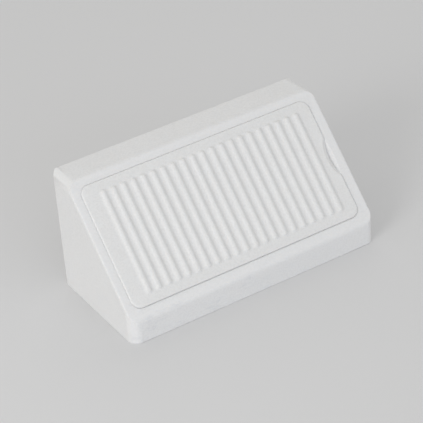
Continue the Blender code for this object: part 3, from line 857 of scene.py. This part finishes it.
def cover_fittings():
    """The hooked tabs, the snap tongue with its nose, and the stiffening bars."""
    throat = SEAT_LENGTH / 2 - LEDGE_WIDTH
    in_plate = COVER_UNDERSIDE + COVER_THICKNESS / 4  # where the fittings are rooted
    leg_start = -throat + TAB_CLEARANCE
    leg_end = leg_start + TAB_THICKNESS
    toe_start = -throat - TOE_REACH
    toe_end = toe_start + TOE_LENGTH
    toe_width = TAB_WIDTH - 2 * SLIGHT
    toe_low, toe_high = TAB_LEVEL + SLIGHT, TAB_LEVEL + TOE_THICKNESS
    tongue_end = throat - TONGUE_CLEARANCE
    tongue_start = tongue_end - TONGUE_THICKNESS
    nose_end = throat - NOSE_CLEARANCE
    nose_start = nose_end - NOSE_LENGTH
    nose_width = TONGUE_WIDTH - 2 * SLIGHT
    nose_low = TONGUE_LEVEL + NOSE_RISE
    half_bar = BAR_LENGTH / 2
    boxes = [
        (tongue_start, tongue_end, 0, TONGUE_WIDTH, TONGUE_LEVEL, in_plate),
        (nose_start, nose_end, 0, nose_width, nose_low, nose_low + NOSE_THICKNESS),
    ]
    for side in (1, -1):
        tab_y, bar_y = side * TAB_SPREAD, side * BAR_SPREAD
        boxes += [
            (leg_start, leg_end, tab_y, TAB_WIDTH, TAB_LEVEL, in_plate),
            (toe_start, toe_end, tab_y, toe_width, toe_low, toe_high),
            (-half_bar, half_bar, bar_y, BAR_THICKNESS, BAR_LEVEL, in_plate),
        ]
    fittings = []
    for start, end, y, width, low, high in boxes:
        near, far = (start, y - width / 2, low), (end, y + width / 2, high)
        fittings.append(block("fitting", near, far, SEAT, FITTING_EDGE))
    return fittings


def make_cover(paint):
    cover = ribbed_plate()
    combine(cover, cover_fittings(), "UNION")
    lip_room = LIP_REACH + LIP_GAP
    clearance = notch_cone("clearance", LIP_LENGTH, lip_room, 1, COVER_UNDERSIDE - CLEAR, CLEAR)
    reach = NOTCH_IN_COVER - CHAMFER_TAPER * COVER_PROUD
    chamfer = notch_cone(
        "chamfer", NOTCH_LENGTH, reach, 1, -NOTCH_DEPTH, COVER_PROUD, CHAMFER_TAPER
    )
    combine(cover, (clearance,), "DIFFERENCE")
    combine(cover, (chamfer,), "DIFFERENCE")
    finish_piece(cover, "ribbed_cover", "cover", "cover_plate", paint)


# ---------------------------------------------------------------- screws, washers and buffers


def thread_radius(height, ridge):
    """The thread's radius at a height, where ridge is 0 in the valley and 1 on the crest."""
    core = CORE_RADIUS * min(1.0, height / TIP_LENGTH) ** TIP_CURVE
    from_tip = height / (RIDGE_START * TIP_LENGTH)
    from_top = (THREAD_TOP - height) / (RIDGE_RUNOUT * THREAD_PITCH)
    return core + (THREAD_RADIUS - CORE_RADIUS) * ridge * min(1.0, from_tip, from_top)


def threaded_shank(shape):
    """The screw's thread as a helical skin from its point to the top of the thread."""
    step_height = THREAD_PITCH / THREAD_ROWS
    rows = int((THREAD_TOP + THREAD_PITCH) / step_height) + SPARE_ROWS
    grid = {}
    for row in range(-THREAD_ROWS, rows):
        phase = abs((row % THREAD_ROWS) / THREAD_ROWS - 0.5) * 2
        ridge = max(0.0, 1 - phase / RIDGE_SHARE)
        for column in range(SCREW_SEGMENTS):
            height = row * step_height + THREAD_PITCH * column / SCREW_SEGMENTS
            height = min(max(height, 0.0), THREAD_TOP)
            radius = thread_radius(height, ridge)
            angle = 2 * math.pi * column / SCREW_SEGMENTS
            point = Vector((radius * math.cos(angle), radius * math.sin(angle), height))
            grid[row, column] = shape.verts.new(point)
    for row in range(-THREAD_ROWS, rows - 1 - THREAD_ROWS):
        for column in range(SCREW_SEGMENTS):
            wrap = column + 1 == SCREW_SEGMENTS
            right = (row + THREAD_ROWS, 0) if wrap else (row, column + 1)
            above = (right[0] + 1, right[1])
            corners = (grid[row, column], grid[right], grid[above], grid[row + 1, column])
            shape.faces.new(corners)


def head_profile():
    """From the top of the thread up the neck, out under the head and over its dome."""
    points = [
        (CORE_RADIUS, THREAD_TOP),
        (NECK_RADIUS, THREAD_TOP + NECK_START),
        (NECK_RADIUS, SHANK_LENGTH - NECK_FLARE),
        (NECK_RADIUS + NECK_FLARE, SHANK_LENGTH),
        (HEAD_RADIUS - HEAD_EDGE, SHANK_LENGTH),
        (HEAD_RADIUS, SHANK_LENGTH + HEAD_EDGE),
    ]
    side = SHANK_LENGTH + HEAD_HEIGHT * HEAD_SIDE
    dome = HEAD_HEIGHT * HEAD_DOME
    for step in range(DOME_STEPS):
        angle = math.radians(90 * step / DOME_STEPS)
        points.append((HEAD_RADIUS * math.cos(angle), side + dome * math.sin(angle)))
    points.append((0, SHANK_LENGTH + HEAD_HEIGHT))
    return points


def cross_recess(place):
    """A tapered cross for the driver, wider at its mouth."""
    rings = []
    for level, reach, half in RECESS:
        arm = ((reach, -half), (reach, half), (half, half))
        ring = []
        for turn in range(4):
            spin = Matrix.Rotation(math.radians(90 * turn), 2)
            height = SHANK_LENGTH + HEAD_HEIGHT + level
            ring += [(*(spin @ Vector(point)), height) for point in arm]
        rings.append(ring)
    return loft("recess", rings, place)


def make_screw(side_name, x, paint):
    shape = bmesh.new()
    threaded_shank(shape)
    rings = [circle(radius, height, SCREW_SEGMENTS) for radius, height in head_profile()]
    loft_rows(shape, rings)
    spin = Matrix.Rotation(math.radians(SCREW_TURN[side_name]), 4, "Z")
    place = Matrix.Translation((x, SCREW_Y, SCREW_LOW.z)) @ spin
    bmesh.ops.transform(shape, matrix=place, verts=shape.verts)
    screw = new_object("screw", shape)
    combine(screw, (cross_recess(place),), "DIFFERENCE")
    name = f"wood_screw_{side_name}"
    body = f"screw_{side_name}"
    node = f"floor_screw_{side_name}"
    finish_piece(screw, name, body, node, paint, SCREW_SHARP_ANGLE)


def make_washer(side_name, x, paint):
    """A stamped ring: rolled on its upper edges, with a small chamfer below."""
    outer = (WASHER_HIGH.x - WASHER_LOW.x) / 2
    low, high = WASHER_LOW.z, WASHER_HIGH.z
    profile = [(WASHER_HOLE, low), (outer - WASHER_CHAMFER, low), (outer, low + WASHER_CHAMFER)]
    for behind, ahead in round_corner(WASHER_ROLL, ROLL_STEPS):
        profile.append((outer - behind, high - ahead))
    for behind, ahead in round_corner(WASHER_ROLL, ROLL_STEPS):
        radius = WASHER_HOLE + ahead * WASHER_INNER_ROLL
        profile.append((radius, high - behind * WASHER_INNER_ROLL))
    profile.append((WASHER_HOLE, low))
    place = Matrix.Translation((x, SCREW_Y, 0))
    washer = turned("washer", profile, place, WASHER_SEGMENTS)
    name = f"flat_washer_{side_name}"
    finish_piece(washer, name, "housing", f"washer_{side_name}", paint)


def buffer_profile():
    """Cushioned disc with a shallow ring groove, then the stem and its barb inside the wall."""
    face = BUFFER_FACE
    groove = face - GROOVE_DEPTH
    points = [(0, face), *zip(GROOVE_RADII, (face, groove, groove, face))]
    for behind, ahead in round_corner(BUFFER_ROUND, CUSHION_STEPS):
        points.append((BUFFER_RADIUS - ahead, face - behind))
    inner = -WALL - BUFFER_GAP
    tip = STEM_RADIUS * BARB_TIP
    points += [
        (BUFFER_RADIUS, BUFFER_GAP + BUFFER_EDGE),
        (BUFFER_RADIUS - BUFFER_EDGE, BUFFER_GAP),
        (STEM_RADIUS, BUFFER_GAP),
        (STEM_RADIUS, inner),
        (BARB_RADIUS - BARB_EDGE, inner),
        (BARB_RADIUS, inner - BARB_EDGE),
        (BARB_RADIUS * BARB_SHOULDER, inner - BARB_LENGTH * BARB_SHOULDER_DOWN),
        (tip, inner - BARB_LENGTH + BUFFER_EDGE),
        (tip - BUFFER_EDGE, inner - BARB_LENGTH),
        (0, inner - BARB_LENGTH),
    ]
    return points


def make_buffer(side_name, x, paint):
    place = along(Vector((x, BACK, BUFFER_Z)), Vector((0, 1, 0)))
    pad = turned("buffer", buffer_profile(), place)
    name = f"rubber_buffer_{side_name}"
    finish_piece(pad, name, "housing", f"buffer_{side_name}", paint)


# ---------------------------------------------------------------- studio


def make_floor():
    shape = bmesh.new()
    bmesh.ops.create_grid(shape, x_segments=1, y_segments=1, size=3)
    floor = new_object("studio_floor", shape)
    floor.location.z = FLOOR_LEVEL
    made, tree, shader = shader_tree("floor_paper")
    cloud = noise_at(tree, surface_place(tree), scale=3, detail=2)
    paper = mixed(tree, cloud, FLOOR_GREY, FLOOR_LIGHT)
    tree.links.new(paper, shader.inputs["Base Color"])
    set_inputs(shader, {"Roughness": 0.9, "Specular IOR Level": 0.1})
    floor.data.materials.append(made)


def soft_light(name, position, target, size, power, colour=(1, 1, 1)):
    light = bpy.data.lights.new(name, "AREA")
    light.shape = "SQUARE"
    light.size = size
    light.energy = power
    light.color = colour
    lamp = bpy.data.objects.new(name, light)
    lamp.location = position
    lamp.rotation_mode = "QUATERNION"
    lamp.rotation_quaternion = (Vector(target) - Vector(position)).to_track_quat("-Z", "Y")
    bpy.context.scene.collection.objects.link(lamp)
    return light


def make_lights():
    """A soft sky, a narrow key from the left, and wide fills from the front and the back."""
    world = bpy.data.worlds.new("studio")
    world.use_nodes = True
    sky = world.node_tree.nodes["Background"]
    set_inputs(sky, {"Color": (1, 0.995, 0.98, 1), "Strength": 0.657})
    bpy.context.scene.world = world
    middle = (0, 0, HEIGHT / 2)
    left_end = (-LENGTH / 2, 0, HEIGHT / 2)
    key = soft_light("key_left", (-0.425, -0.17, 0.225), left_end, size=0.2, power=0.146)
    key.spread = math.radians(80)
    cool = (0.79, 0.86, 1.0)
    soft_light("fill_front", (0.0, -0.98, 0.16), middle, size=0.8, power=2.3, colour=cool)
    soft_light("fill_back", (0.3, 0.7, 0.66), middle, size=0.6, power=0.6)


def make_camera():
    """Seen from the front left and above, a little rolled, through a long lens."""
    azimuth = math.radians(30.29)
    elevation = math.radians(33.68)
    roll = math.radians(-4.51)
    distance = 439.7 * MM
    aim = Vector((-1.35, -0.23, 13.68)) * MM
    forward = Vector((
        math.sin(azimuth) * math.cos(elevation),
        math.cos(azimuth) * math.cos(elevation),
        -math.sin(elevation),
    ))
    level_right = Vector((math.cos(azimuth), -math.sin(azimuth), 0))
    right = Matrix.Rotation(-roll, 3, forward) @ level_right
    up = right.cross(forward)
    camera = bpy.data.objects.new("camera", bpy.data.cameras.new("camera"))
    camera.data.sensor_width = 36
    camera.data.lens = 172.16
    camera.data.clip_start = 0.01
    camera.data.clip_end = 20
    rotation = Matrix((right, up, -forward)).transposed()
    camera.matrix_world = Matrix.Translation(aim - forward * distance) @ rotation.to_4x4()
    bpy.context.scene.collection.objects.link(camera)
    bpy.context.scene.camera = camera


def main():
    white = moulded_plastic(
        "white_plastic", WHITE, WHITE_SHADE, roughness=0.5, grain=0.06 * MM
    )
    cover_white = moulded_plastic(
        "white_cover_plastic", COVER_WHITE, COVER_SHADE, roughness=0.47, grain=0.055 * MM
    )
    zinc = zinc_plated()
    rubber = soft_rubber()
    make_housing(white)
    make_cover(cover_white)
    for side, side_name in ((-1, "left"), (1, "right")):
        make_screw(side_name, side * SCREW_X, zinc)
        make_washer(side_name, side * SCREW_X, zinc)
        make_buffer(side_name, side * BUFFER_X, rubber)
    make_floor()
    make_lights()
    make_camera()
    bpy.context.scene.view_settings.view_transform = "Standard"


main()
